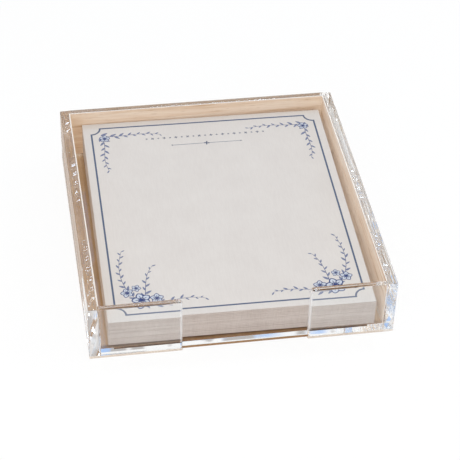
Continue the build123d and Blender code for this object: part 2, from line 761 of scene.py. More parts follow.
@dataclass(frozen=True)
class NotePaper:
    """Uncoated writing paper: fibres, a cloudy sheet and a tone of its own for each leaf."""

    name: str
    light: Colour
    shade: Colour
    leaf_contrast: float = 0.0
    relief: float = 0.02 * MM

    def material(self) -> Material:
        """Cloudy fibres, with the leaf's own tone on top.

        Returns:
            The material.
        """
        paint = Paint(self.name)
        where = paint.place()
        fibres = paint.noise(where, scale=2600.0, detail=3.0, rough=0.7)
        clouds = paint.noise(where, scale=55.0, detail=4.0, rough=0.6)
        threads = paint.noise(paint.place((1500.0, 160.0, 160.0)))
        cloudy = (clouds * 0.4 + fibres * 0.3 + threads * 0.3).between(0.3, 0.7)
        own = paint.attribute("leaf_tone")
        tone = cloudy * (1.0 - self.leaf_contrast) + own * self.leaf_contrast
        sheet = paint.blend(tone, self.light, self.shade)
        normal = paint.bump(fibres + threads, 0.35, self.relief)
        return paint.finish(paint.surface(Base_Color=sheet, Roughness=fibres * 0.1 + 0.84, Normal=normal))


@dataclass(frozen=True)
class PrintInk:
    """Flat printing ink, thinner where the sheet's tooth shows through."""

    name: str
    thin: Colour
    full: Colour

    def material(self) -> Material:
        """From thin to full ink by the mesh's own tone, broken up by fine noise.

        Returns:
            The material.
        """
        paint = Paint(self.name)
        tooth = paint.noise(paint.place(), scale=1900.0, detail=3.0, rough=0.6)
        share = paint.attribute("ink_tone") ** 1.2 + (tooth - 0.5) * 0.3
        ink = paint.blend(share.between(0.0, 1.0), self.thin, self.full)
        return paint.finish(paint.surface(Base_Color=ink, Roughness=tooth * 0.15 + 0.62))


# The clear tray

class Mouth(Enum):
    """Which top corner of a slab is rounded."""

    NONE = 0
    LEFT = -1
    RIGHT = 1


@dataclass(frozen=True)
class Slab:
    """One slab of clear sheet, and the sides on which it is cemented into its neighbours."""

    node: str
    low_laps: Pair = (0.0, 0.0)
    high_laps: Pair = (0.0, 0.0)
    mouth: Mouth = Mouth.NONE


@dataclass
class ClearTray:
    """Floor, walls and lips of clear sheet, cemented into one shell with broken edges and fine seams."""

    finish: ClearAcrylic
    slabs: tuple[Slab, ...] = (
        Slab("left_wall"),
        Slab("right_wall"),
        Slab("back_wall", (1.0, 0.0), (1.0, 0.0)),
        Slab("floor_plate", (1.0, 0.0), (1.0, 1.0)),
        Slab("left_lip", (1.0, 0.0), mouth=Mouth.RIGHT),
        Slab("right_lip", high_laps=(1.0, 0.0), mouth=Mouth.LEFT),
    )
    mouth_round: float = 1.2 * MM
    round_steps: int = 5
    rim_share: float = 0.45
    seam_share: float = 0.14
    lap: float = 0.2 * MM
    air_gap: float = 0.08 * MM
    mouth_radius: float = 1.6 * MM
    mouth_steps: int = 8
    tiny: float = 0.01 * MM

    def outline(self, low: Vector, high: Vector, mouth: Mouth) -> list[Pair]:
        """Corners of a slab seen from the front, with its rounded corner.

        Args:
            low: the slab's low corner.
            high: its high corner.
            mouth: which top corner is rounded.

        Returns:
            The corners, in order.
        """
        corners = [(low.x, low.z), (high.x, low.z)]
        radius = self.mouth_radius
        for edge, side in ((high.x, Mouth.RIGHT), (low.x, Mouth.LEFT)):
            if mouth is not side:
                corners.append((edge, high.z))
                continue
            start = 0.0 if side is Mouth.RIGHT else math.pi / 2
            for step in range(self.mouth_steps + 1):
                angle = start + math.pi / 2 * step / self.mouth_steps
                reach = math.cos(angle) - side.value
                corners.append((edge + radius * reach, high.z - radius * (1 - math.sin(angle))))
        return corners

    def edge_share(self, slab: Slab, low: Vector, high: Vector, start: Vector, end: Vector) -> float:
        """How far one edge is broken: the mouth's rims fully, open rims less and seams a little.

        Args:
            slab: the slab.
            low: its low corner.
            high: its high corner.
            start: the edge's one end.
            end: its other end.

        Returns:
            The share of the full width, which is 0 along the mouth's own curve.
        """
        reach = self.mouth_radius + self.tiny
        mouth_x = {Mouth.LEFT: low.x, Mouth.RIGHT: high.x}.get(slab.mouth, math.inf)
        high_up = min(start.z, end.z) > high.z - reach
        if abs(start.x - mouth_x) < reach and abs(end.x - mouth_x) < reach:
            lengthwise = (start - end).xz.length < self.tiny
            return 0.0 if lengthwise and high_up else 1.0
        laps = [edge for edge, lap in ((low.x, slab.low_laps[0]), (high.x, slab.high_laps[0])) if lap]
        seam = any(abs(start.x - edge) < self.tiny and abs(end.x - edge) < self.tiny for edge in laps)
        seam = seam or slab.node == "back_wall" and min(start.y, end.y) > high.y - self.tiny
        return self.rim_share if high_up and not seam and slab.node != "floor_plate" else self.seam_share

    def slab(self, slab: Slab) -> bpy.types.Object:
        """One slab, lapped into its neighbours and lifted a hair off the wood.

        Args:
            slab: the slab.

        Returns:
            Its object, which still carries the modifier that breaks its edges.
        """
        low, high = (Vector(corner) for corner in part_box(slab.node))
        low -= Vector((*slab.low_laps, 0.0)) * self.lap
        high += Vector((*slab.high_laps, 0.0)) * self.lap
        low.z += self.air_gap
        mesh = prism(self.outline(low, high, slab.mouth), low.y, high.y, lambda x, z, y: (x, y, z))

        def share(start: Vector, end: Vector) -> float:
            """How far one edge of this slab is broken."""
            return self.edge_share(slab, low, high, start, end)

        return softened(mesh, self.mouth_round, self.round_steps, share)

    def build(self) -> None:
        """Cement the slabs together and seat the shell."""
        first, *others = [self.slab(slab) for slab in self.slabs]
        for other in others:
            weld = first.modifiers.new(other.name, "BOOLEAN")
            weld.operation = "UNION"
            weld.solver = "EXACT"
            weld.object = other
        shell = faced(evaluated(first))
        for carrier in (first, *others):
            bpy.data.objects.remove(carrier)
        nodes = [slab.node for slab in self.slabs]
        seat(dressed(shell, self.finish.material()), "clear_tray", "tray", nodes)


# The wood

@dataclass
class WoodParts:
    """The base board under the tray and the veneer liners inside three of its walls.

    The board carries two low glue lines, on which the floor is bedded behind the lips. A liner's back touches
    the clear wall in long patches, fewer towards the front, and elsewhere leaves a hair of air.
    """

    base: WoodVeneer
    left: WoodVeneer
    right: WoodVeneer
    back: WoodVeneer
    edge_break: float = 0.12 * MM
    edge_steps: int = 2
    air_gap: float = 0.08 * MM
    bed_from: float = 7.3 * MM
    bed_width: float = 3.0 * MM
    bed_height: float = 0.05 * MM
    bed_root: float = 0.3 * MM
    bed_reach: float = 67.0 * MM
    liner_cells: tuple[int, int] = (60, 36)
    swell: float = 1.4
    swell_rows: Pair = (14.0, 110.0)
    left_press: float = 0.9
    right_press: float = -0.5
    back_press: float = 0.8
    loose: float = 1.2
    loose_from: float = -35.0 * MM
    loose_fade: float = 25.0 * MM

    def board_outline(self) -> list[Pair]:
        """The tray's footprint less the thumb notch.

        Returns:
            The corners, in order.
        """
        low, high = (Vector(corner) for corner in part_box("base_board"))
        left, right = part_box("left_lip")[1][0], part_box("right_lip")[0][0]
        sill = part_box("floor_plate")[0][1]
        return [
            (low.x, low.y), (left, low.y), (left, sill), (right, sill),
            (right, low.y), (high.x, low.y), (high.x, high.y), (low.x, high.y),
        ]

    def board(self) -> None:
        """Make the base board with its glue lines, break its edges and seat it."""
        low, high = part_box("base_board")
        board = prism(self.board_outline(), low[2], high[2], lambda x, y, z: (x, y, z))
        near = low[1] + self.bed_from
        far = near + self.bed_width
        bed_top = high[2] + self.air_gap + self.bed_height
        for lip in ("left_lip", "right_lip"):
            start, end = (max(-self.bed_reach, min(self.bed_reach, corner[0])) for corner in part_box(lip))
            corners = [(start, near), (end, near), (end, far), (start, far)]
            bed = prism(corners, high[2] - self.bed_root, bed_top, lambda x, y, z: (x, y, z))
            board = merged(board, bed)
        carrier = softened(board, self.edge_break, self.edge_steps)
        board = faced(evaluated(carrier))
        bpy.data.objects.remove(carrier)
        seat(dressed(board, self.base.material()), "base_board_veneer", "tray", ["base_board"])

    def contact(self, point: Vector, thin: int, way: int, press: float) -> float:
        """How far a liner's back swells at a point, in air gaps: from 1 it touches the clear wall.

        Args:
            point: the place on the back.
            thin: the axis across the liner's thickness.
            way: the sign of the direction into the bay on that axis.
            press: how much of its back touches, from about -1 for none to 1 for all.

        Returns:
            The swelling.
        """
        along, upwards = self.swell_rows
        swell = noise.noise(Vector((point[1 - thin] * along, point.z * upwards, 3.0 * thin + way)))
        eased = max(0.0, min(1.0, (self.loose_from - point.y) / self.loose_fade))
        return self.swell * swell + press - self.loose * eased

    def liner(self, node: str, thin: int, way: int, press: float, finish: Material) -> None:
        """One liner, as a closed sheet with an uneven back.

        Args:
            node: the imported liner.
            thin: the axis across its thickness.
            way: the sign of the direction into the bay on that axis.
            press: how much of its back touches, from about -1 for none to 1 for all.
            finish: its veneer.
        """
        low, high = (Vector(corner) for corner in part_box(node))
        low.z += self.air_gap
        run = 1 - thin
        backing, facing = (low[thin], high[thin]) if way > 0 else (high[thin], low[thin])
        columns, rows = self.liner_cells
        points: list[Vector] = []
        for level in (backing, facing):
            for i in range(columns + 1):
                for j in range(rows + 1):
                    point = Vector((0.0, 0.0, low.z + (high.z - low.z) * j / rows))
                    point[run] = low[run] + (high[run] - low[run]) * i / columns
                    point[thin] = level
                    if level == backing:
                        point[thin] -= way * self.air_gap * self.contact(point, thin, way, press)
                    points.append(point)
        row, layer = rows + 1, (columns + 1) * (rows + 1)
        cells = [i * row + j for i in range(columns) for j in range(rows)]
        starts = [layer * side + cell for side in (0, 1) for cell in cells]
        faces = [(start, start + row, start + row + 1, start + 1) for start in starts]
        rim = [i * row for i in range(columns)] + [columns * row + j for j in range(rows)]
        rim += [i * row + rows for i in range(columns, 0, -1)] + list(range(rows, 0, -1))
        faces += [(a, b, b + layer, a + layer) for a, b in zip(rim, rim[1:] + rim[:1])]
        mesh = bpy.data.meshes.new(node)
        mesh.from_pydata(points, [], faces)
        seat(faced(dressed(mesh, finish)), f"{node}_veneer", "tray", [node])

    def build(self) -> None:
        """Make the base board and the three liners."""
        self.board()
        self.liner("left_liner", 0, 1, self.left_press, self.left.material())
        self.liner("right_liner", 0, -1, self.right_press, self.right.material())
        self.liner("back_liner", 1, -1, self.back_press, self.back.material())


# The sheets

@dataclass(frozen=True)
class SheetLay:
    """How the sheets lie in the bay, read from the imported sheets."""

    centre: Pair
    turn: float
    width: float
    depth: float
    rise: float
    bottom: float
    pile_top: float
    leaf: float
    upper_nodes: tuple[str, ...]
    fill: float = 0.88
    wave: float = 0.5 * MM
    air_gap: float = 0.08 * MM

    @classmethod
    def read(cls) -> "SheetLay":
        """Measure the top sheet's corners and count the sheets under it.

        Returns:
            The sheets' lay.
        """
        points = [vertex.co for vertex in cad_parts["top_leaf"].data.vertices]

        def corner(across: int, along: int, up: int = 1) -> Vector:
            """The top sheet's corner that lies furthest that way."""
            return max(points, key=lambda point: across * point.x + along * point.y + up * point.z)

        front_left, front_right, back_left = corner(-1, -1), corner(1, -1), corner(-1, 1)
        edge, side = front_right - front_left, back_left - front_left
        middle = (front_right + back_left) / 2
        thickness = front_left.z - corner(-1, -1, -1).z
        upper = tuple(sorted(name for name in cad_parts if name.startswith("leaf_")))
        return cls(
            centre=(middle.x, middle.y),
            turn=math.atan2(edge.y, edge.x),
            width=edge.length,
            depth=math.hypot(side.x, side.y),
            rise=side.z,
            bottom=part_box("sheet_pile")[0][2],
            pile_top=front_left.z - (len(upper) + 1) * thickness,
            leaf=thickness,
            upper_nodes=upper,
        )

    @property
    def top(self) -> float:
        """Height of the top sheet's upper face at its front edge."""
        return self.pile_top + (len(self.upper_nodes) + 1) * self.leaf

    def put(self, mesh: Mesh) -> Mesh:
        """Turn and move a mesh that was drawn about the sheet's middle to where the sheets lie."""
        mesh.transform(Matrix.Translation((*self.centre, 0.0)) @ Matrix.Rotation(self.turn, 4, "Z"))
        return mesh


class LeafStack(Recipe):
    """Leaves of paper from the bottom up, each a little out of line with the next."""

    def __init__(self) -> None:
        """Build the tree."""
        super().__init__("stacked_leaves")
        count = self.knob("Count", "Int")
        width, depth, thickness = self.knob("Width"), self.knob("Depth"), self.knob("Thickness")
        height, pitch = self.knob("Height"), self.knob("Pitch")
        rise, rise_step = self.knob("Rise"), self.knob("Rise Step")
        wave, wave_step = self.knob("Wave"), self.knob("Wave Step")
        spread, twist = self.knob("Spread"), self.knob("Twist")
        cells, seed = self.knob("Cells", "Int"), self.knob("Seed", "Int")
        points = self.store(self.step("Points", None, Count=count), "leaf", self.step("InputIndex"))
        points = self.store(points, "leaf_tone", self.random(0.0, 1.0, seed + 3))
        aside, ahead = (self.random(spread * -1.0, spread, seed + draw) for draw in (0, 1))
        points = self.moved(points, self.combine(aside, ahead, 0.0))
        size = self.combine(width, depth, thickness)
        counts = {"Vertices X": cells, "Vertices Y": cells, "Vertices Z": 2}
        sheet = self.node("GeometryNodeMeshCube", None, {"Size": size, **counts}).outputs[0]
        turn = self.combine(0.0, 0.0, self.random(twist * -1.0, twist, seed + 2))
        stack = self.step("InstanceOnPoints", None, Points=points, Instance=sheet, Rotation=turn)
        stack = self.step("RealizeInstances", None, Geometry=stack)
        leaf = self.stored("leaf")
        middle = height + thickness * 0.5 + leaf * pitch
        self.close(self.lay(stack, middle, rise + leaf * rise_step, depth, wave + leaf * wave_step))


@dataclass
class NotePile:
    """The loose sheets: the pile, the upper leaves and the sheet on top."""

    lay: SheetLay
    # The pile's paper is darker and warmer than the top sheet: painted shade.
    edges: NotePaper
    face: NotePaper
    spread: float = 0.1 * MM
    twist: float = math.radians(0.07)
    cells: int = 18
    top_cells: int = 40
    pile_seed: int = 11
    upper_seed: int = 23

    def leaves(self, recipe: LeafStack, **settings: object) -> Mesh:
        """Run the stack with the sheets' own sizes and put the result in place.

        Args:
            recipe: the stack's tree.
            settings: its other inputs.

        Returns:
            The leaves, in place.
        """
        lay = self.lay
        sizes = {"Width": lay.width, "Depth": lay.depth, "Thickness": lay.leaf * lay.fill}
        return lay.put(recipe.run(bpy.data.meshes.new("leaves"), **sizes, **settings))

    def build(self) -> None:
        """Stack the sheets from the floor up."""
        recipe = LeafStack()
        lay = self.lay
        count = round((lay.pile_top - lay.bottom) / lay.leaf)
        pitch = (lay.pile_top - lay.bottom - lay.air_gap) / count
        edges = self.edges.material()
        loose = {"Spread": self.spread, "Twist": self.twist, "Cells": self.cells, "Material": edges}
        pile = self.leaves(
            recipe, Count=count, Height=lay.bottom + lay.air_gap, Pitch=pitch, Rise_Step=lay.rise / count,
            Wave_Step=lay.wave / count, Seed=self.pile_seed, **loose,
        )
        seat(pile, "pile_leaves", "pad", ["sheet_pile"])
        slope = {"Rise": lay.rise, "Wave": lay.wave}
        upper = self.leaves(
            recipe, Count=len(lay.upper_nodes), Height=lay.pile_top, Pitch=lay.leaf, Seed=self.upper_seed,
            **slope, **loose,
        )
        seat(upper, "upper_leaves", "pad", lay.upper_nodes)
        top = self.leaves(
            recipe, Count=1, Height=lay.top - lay.leaf, Cells=self.top_cells, Material=self.face.material(),
            **slope,
        )
        seat(top, "top_sheet", "loose_leaf", ["top_leaf"])


# The print on the top sheet

class InkRecipe(Recipe):
    """A tree whose flat shapes become a closed film of ink on the top sheet."""

    def __init__(self, name: str) -> None:
        """Start the tree with the sheet's inputs.

        Args:
            name: the tree's name.
        """
        super().__init__(name)
        self.height, self.rise = self.knob("Height"), self.knob("Rise")
        self.depth, self.wave = self.knob("Depth"), self.knob("Wave")
        self.film = self.knob("Film")

    def ink(self, flat: Socket) -> None:
        """Give flat shapes the film's thickness, lay them on the sheet and end the tree.

        Args:
            flat: the shapes.
        """
        flat = self.step("RealizeInstances", None, Geometry=flat)
        upwards = {"Offset": (0.0, 0.0, 1.0), "Offset_Scale": self.film, "Individual": False}
        upper = self.step("ExtrudeMesh", None, Mesh=flat, **upwards)
        lower = self.step("FlipFaces", None, Mesh=flat)
        film = self.step("MergeByDistance", None, Geometry=self.joined((upper, lower)), Distance=0.0005 * MM)
        self.close(self.lay(film, self.height, self.rise, self.depth, self.wave))

    def almond(self, length: Feed, width: Feed, point: float, hollow: float) -> Socket:
        """A flat leaf or petal that grows from the origin along X.

        Args:
            length: from stalk to tip.
            width: at the widest.
            point: how pointed its ends are, from 0 for round.
            hollow: how much thinner the ink is in the middle than at the rim.

        Returns:
            The flat shape, with its ink fuller towards the rim.
        """
        disc = self.step("MeshCircle", {"fill_type": "TRIANGLE_FAN"}, Vertices=16, Radius=1.0)
        x, y, _ = self.split(self.step("InputPosition"))
        reach = (x + 1.0) * 0.5
        half = y * abs(y).larger(0.02) ** point * (1.1 - x * 0.3) * width * 0.5
        place = self.combine(reach * length, half, 0.0)
        shaped = self.step("SetPosition", None, Geometry=disc, Position=place)
        return self.store(shaped, "ink_tone", (x * x + y * y) * hollow + (1.0 - hollow))

    def raised(self, flat: Socket, films: float, tone: float) -> Socket:
        """Lift a flat shape by so many films of ink and give it one tone all over.

        Args:
            flat: the shape.
            films: how many films it is lifted.
            tone: its ink, from 0 for thin to 1 for full.

        Returns:
            The lifted shape.
        """
        lift = self.combine(0.0, 0.0, self.film * films)
        return self.store(self.step("Transform", None, Geometry=flat, Translation=lift), "ink_tone", tone)


class FlatInk(InkRecipe):
    """Ink over a mesh that was drawn flat."""

    def __init__(self) -> None:
        """Build the tree."""
        super().__init__("flat_ink")
        self.ink(self.entry.outputs["Geometry"])


class SprigInk(InkRecipe):
    """Stems along drawn lines, with leaves to the left and the right in turn."""

    def __init__(self) -> None:
        """Build the tree."""
        super().__init__("sprig_ink")
        spacing, stem = self.knob("Spacing"), self.knob("Stem Width")
        length, width, splay = self.knob("Leaf Length"), self.knob("Leaf Width"), self.knob("Splay")
        seed = self.knob("Seed", "Int")
        lines = self.step("MeshToCurve", None, Mesh=self.entry.outputs["Geometry"])
        along = Value(self, self.step("SplineParameter"))
        fine = self.step("ResampleCurve", {"mode": "LENGTH"}, Curve=lines, Length=spacing * 0.25)
        fine = self.step("SetCurveNormal", {"mode": "Z_UP"}, Curve=fine)
        left, right = (self.combine(stem * half, 0.0, 0.0) for half in (-0.5, 0.5))
        profile = self.step("CurvePrimitiveLine", None, Start=left, End=right)
        stems = self.step("CurveToMesh", None, Curve=fine, Profile_Curve=profile, Scale=1.0 - along * 0.5)
        stems = self.store(stems, "ink_tone", 0.85)
        nodes = self.step("ResampleCurve", {"mode": "LENGTH"}, Curve=lines, Length=spacing)
        side = 1.0 - Value(self, self.step("InputIndex")).math("MODULO", 2.0) * 2.0
        tangent_x, tangent_y, _ = self.split(self.step("InputTangent"))
        heading = tangent_y.math("ARCTAN2", tangent_x)
        turn = self.combine(0.0, 0.0, heading + side * splay * self.random(0.75, 1.25, seed))
        size = (1.05 - along * 0.5) * self.random(0.8, 1.15, seed + 1)
        leaves = self.step(
            "InstanceOnPoints", None, Points=nodes, Instance=self.almond(length, width, 0.55, 0.3),
            Rotation=turn, Scale=self.combine(size, size, 1.0),
        )
        leaves = self.moved(leaves, self.combine(0.0, 0.0, self.film * 0.5))
        self.ink(self.joined((stems, leaves)))


class FloretInk(InkRecipe):
    """Round blossoms on drawn points, each of the size that its point carries."""

    # Each layer of a petal: where it starts, its length and width as shares, and its ink
    layers: tuple[tuple[float, ...], ...] = (
        (0.0, 1.0, 1.0, 1.0), (0.1, 0.76, 0.7, 0.0), (0.0, 0.55, 0.12, 0.8),
    )

    def __init__(self) -> None:
        """Build the tree."""
        super().__init__("floret_ink")
        petals, heart = self.knob("Petals", "Int"), self.knob("Heart")
        length, width = self.knob("Petal Length"), self.knob("Petal Width")
        seed = self.knob("Seed", "Int")
        index = Value(self, self.step("InputIndex"))
        ring = self.step("MeshCircle", None, Vertices=petals, Radius=heart)
        turn = self.combine(0.0, 0.0, index / petals * math.tau)
        eye = self.step("MeshCircle", {"fill_type": "TRIANGLE_FAN"}, Vertices=12, Radius=heart)
        parts = [self.raised(eye, 3.0, 1.0)]
        for level, (start, long, wide, tone) in enumerate(self.layers):
            petal = self.almond(length * long, width * wide, 0.1, 0.0)
            outwards = self.combine(length * start, 0.0, 0.0)
            petal = self.step("Transform", None, Geometry=petal, Translation=outwards)
            petal = self.raised(petal, level, tone)
            parts.append(self.step("InstanceOnPoints", None, Points=ring, Instance=petal, Rotation=turn))
        size = self.stored("size")
        blossoms = self.step(
            "InstanceOnPoints", None, Points=self.entry.outputs["Geometry"], Instance=self.joined(parts),
            Rotation=self.combine(0.0, 0.0, self.random(0.0, math.tau, seed)),
            Scale=self.combine(size, size, 1.0),
        )
        self.ink(self.moved(blossoms, self.combine(0.0, 0.0, self.film)))


@dataclass(frozen=True)
class Stem:
    """A stem as a cubic curve, in millimetres from the sheet's middle; it is drawn again mirrored."""

    start: Pair
    first_pull: Pair
    second_pull: Pair
    end: Pair

    def points(self, mirror: int, steps: int = 24) -> list[Triple]:
        """Points along the stem.

        Args:
            mirror: 1 for the stem on the right and -1 for the one on the left.
            steps: the lengths that it is cut into.

        Returns:
            The points, flat about the sheet's middle.
        """
        knots = (self.start, self.first_pull, self.second_pull, self.end)
        line = []
        for step in range(steps + 1):
            t = step / steps
            weights = ((1 - t) ** 3, 3 * t * (1 - t) ** 2, 3 * t * t * (1 - t), t**3)
            u, v = (sum(weight * knot[axis] for weight, knot in zip(weights, knots)) for axis in (0, 1))
            line.append((mirror * u * MM, v * MM, 0.0))
        return line


@dataclass
class SheetPrint:
    """A ruled border with scooped corners, a rule below the head, and a plain floral ornament.

    The places of stems and blossoms and the beads' pitch and rise are in millimetres. A blossom's third
    number is its size.
    """

    lay: SheetLay
    border_ink: PrintInk
    flower_ink: PrintInk
    border_inset: float = 4.6 * MM
    border_width: float = 1.0 * MM
    scoop: float = 5.2 * MM
    scoop_steps: int = 8
    rule_drop: float = 24.0 * MM
    rule_length: float = 40.0 * MM
    rule_width: float = 0.3 * MM
    ribbon_step: float = 3.0 * MM
    clearance: float = 0.02 * MM
    film: float = 0.012 * MM
    stems: tuple[Stem, ...] = (
        Stem((60, 70), (50, 66), (40, 72), (26, 68)),
        Stem((60, 69), (56, 60), (62, 50), (58, 38)),
        Stem((52, -69), (60, -60), (63, -46), (58, -30)),
        Stem((50, -69), (47, -60), (49, -52), (43, -43)),
        Stem((49, -70), (40, -73), (30, -66), (18, -70)),
    )
    blossoms: tuple[Triple, ...] = (
        (51, -68, 1.0), (58, -62, 0.66), (43, -67.5, 0.7), (53, -59, 0.5), (58, 67, 0.6),
    )
    bead_pitch: float = 3.4
    bead_rise: float = 7.0
    bead_reach: int = 10
    bead_sizes: Pair = (0.55, 0.8)
    rule_end_size: float = 0.5
    rule_middle_size: float = 1.3

    def border(self) -> list[Pair]:
        """The border's line, counter-clockwise, with quarter circles scooped out of its corners.

        Returns:
            The line's points.
        """
        half_u = self.lay.width / 2 - self.border_inset
        half_v = self.lay.depth / 2 - self.border_inset
        line: list[Pair] = []
        for quarter, (su, sv) in enumerate(((1, 1), (-1, 1), (-1, -1), (1, -1))):
            start = -math.pi / 2 + quarter * math.pi / 2
            for step in range(self.scoop_steps + 1):
                angle = start - math.pi / 2 * step / self.scoop_steps
                u, v = self.scoop * math.cos(angle), self.scoop * math.sin(angle)
                line.append((su * half_u + u, sv * half_v + v))
        return line

    def ribbon(self, line: Sequence[Pair], width: float, closed: bool) -> Mesh:
        """A flat ribbon along a line, cut into short lengths so that it follows the sheet.

        Args:
            line: the points of its middle line.
            width: its width.
            closed: whether its end meets its start.

        Returns:
            The flat mesh.
        """
        fine: list[Vector] = []
        corners = [Vector(point) for point in line]
        for here, there in zip(corners, corners[1:] + corners[:1] if closed else corners[1:]):
            cuts = max(1, round((there - here).length / self.ribbon_step))
            fine += [here.lerp(there, cut / cuts) for cut in range(cuts)]
        if not closed:
            fine.append(corners[-1])
        count = len(fine)
        verts: list[Triple] = []
        for i, point in enumerate(fine):
            before = fine[i - 1] if closed or i else point - (fine[1] - point)
            after = fine[(i + 1) % count] if closed or i < count - 1 else point + (point - fine[i - 1])
            into, out = (point - before).normalized(), (after - point).normalized()
            side = Vector((-into.y - out.y, into.x + out.x)).normalized()
            reach = width / 2 / max(0.4, side.dot(Vector((-into.y, into.x))))
            verts += [(*(point - side * reach), 0.0), (*(point + side * reach), 0.0)]
        spans = range(count if closed else count - 1)
        faces = [(2 * i, 2 * ((i + 1) % count), 2 * ((i + 1) % count) + 1, 2 * i + 1) for i in spans]
        mesh = bpy.data.meshes.new("ribbon")
        mesh.from_pydata(verts, [], faces)
        return mesh

    def stem_lines(self) -> Mesh:
        """The stems and their mirror images.

        Returns:
            A mesh of edges alone.
        """
        verts: list[Triple] = []
        edges: list[tuple[int, int]] = []
        for stem in self.stems:
            for mirror in (1, -1):
                points = stem.points(mirror)
                edges += [(len(verts) + i, len(verts) + i + 1) for i in range(len(points) - 1)]
                verts += points
        lines = bpy.data.meshes.new("lines")
        lines.from_pydata(verts, edges, [])
        return lines

    def dots(self, spots: Sequence[Triple]) -> Mesh:
        """Points that carry a size.

        Args:
            spots: millimetres about the sheet's middle, and the size.

        Returns:
            A mesh of points alone.
        """
        mesh = bpy.data.meshes.new("spots")
        mesh.from_pydata([(u * MM, v * MM, 0.0) for u, v, _ in spots], [], [])
        sizes = mesh.attributes.new("size", "FLOAT", "POINT")
        sizes.data.foreach_set("value", [size for _, _, size in spots])
        return mesh

    def printed(self, recipe: InkRecipe, drawn: Mesh, ink: Material, name: str, **knobs: object) -> None:
        """Run an ink tree on what was drawn and seat the film on the top sheet.

        Args:
            recipe: the tree.
            drawn: what was drawn flat about the sheet's middle.
            ink: the film's ink.
            name: the piece's name.
            knobs: the tree's other inputs.
        """
        lay = self.lay
        height = lay.top - lay.leaf * (1.0 - lay.fill) + self.clearance
        mesh = recipe.run(
            drawn, Height=height, Rise=lay.rise, Depth=lay.depth, Wave=lay.wave, Film=self.film, Material=ink,
            **knobs,
        )
        seat(lay.put(mesh), name, "loose_leaf")

    def build(self) -> None:
        """Print the border, the rule and the ornament."""
        line_ink, flower_ink = self.border_ink.material(), self.flower_ink.material()
        flat, floret = FlatInk(), FloretInk()
        border = self.ribbon(self.border(), self.border_width, True)
        self.printed(flat, border, line_ink, "printed_border")
        rule_u, rule_v = self.rule_length / 2, self.lay.depth / 2 - self.rule_drop
        rule = self.ribbon([(-rule_u, rule_v), (rule_u, rule_v)], self.rule_width, False)
        self.printed(flat, rule, line_ink, "printed_rule")
        self.printed(
            SprigInk(), self.stem_lines(), flower_ink, "printed_sprigs", Spacing=2.5 * MM,
            Stem_Width=0.36 * MM, Leaf_Length=4.0 * MM, Leaf_Width=1.25 * MM, Splay=math.radians(40), Seed=5,
        )
        spots = [(mirror * u, v, size) for u, v, size in self.blossoms for mirror in (1, -1)]
        self.printed(
            floret, self.dots(spots), flower_ink, "printed_blossoms", Petals=5, Heart=1.1 * MM,
            Petal_Length=4.2 * MM, Petal_Width=3.9 * MM, Seed=3,
        )
        row = rule_v / MM
        beads = [(sign * rule_u / MM, row, self.rule_end_size) for sign in (-1, 1)]
        beads.append((0.0, row, self.rule_middle_size))
        for place in range(-self.bead_reach, self.bead_reach + 1):
            beads.append((place * self.bead_pitch, row + self.bead_rise, self.bead_sizes[place % 2]))
        self.printed(
            floret, self.dots(beads), line_ink, "printed_beads", Petals=4, Heart=0.35 * MM,
            Petal_Length=0.9 * MM, Petal_Width=0.6 * MM, Seed=9,
        )


# The stage

@dataclass(frozen=True)
class Softbox:
    """A soft area lamp that points at the tray."""

    name: str
    place: Triple
    size: float
    power: float
    colour: Triple

    def hang(self) -> None:
        """Put the lamp in the scene."""
        lamp = bpy.data.lights.new(self.name, "AREA")
        lamp.shape = "DISK"
        lamp.size = self.size
        lamp.energy = self.power
        lamp.color = self.colour
        holder = bpy.data.objects.new(self.name, lamp)
        bpy.context.scene.collection.objects.link(holder)
        holder.location = self.place
        holder.rotation_euler = Vector(self.place).to_track_quat("Z", "Y").to_euler()


@dataclass(frozen=True)
class Shot:
    """The photo's camera: angles in degrees, and its shift across the picture from the tray's foot."""

    azimuth: float = -10.3811
    elevation: float = 39.8575
    roll: float = 1.9421
    distance: float = 0.92582
    drift: Pair = (6.64 * MM, 5.2 * MM)
    lens: float = 129.46
    sensor: float = 36.0

    def take(self) -> None:
        """Put the camera in the scene."""
        turn, tilt, roll = (math.radians(angle) for angle in (self.azimuth, self.elevation, self.roll))
        back = Vector((math.sin(turn) * math.cos(tilt), -math.cos(turn) * math.cos(tilt), math.sin(tilt)))
        right = Vector((math.cos(turn), math.sin(turn), 0.0))
        up = back.cross(right)
        eye = right * self.drift[0] + up * self.drift[1] + back * self.distance
        across = right * math.cos(roll) + up * math.sin(roll)
        upwards = up * math.cos(roll) - right * math.sin(roll)
        camera = bpy.data.cameras.new("camera")
        camera.lens = self.lens
        camera.sensor_width = self.sensor
        holder = bpy.data.objects.new("camera", camera)
        bpy.context.scene.collection.objects.link(holder)
        turned = Matrix((across, upwards, back)).transposed().to_4x4()
        holder.matrix_world = Matrix.Translation(eye) @ turned
        bpy.context.scene.camera = holder


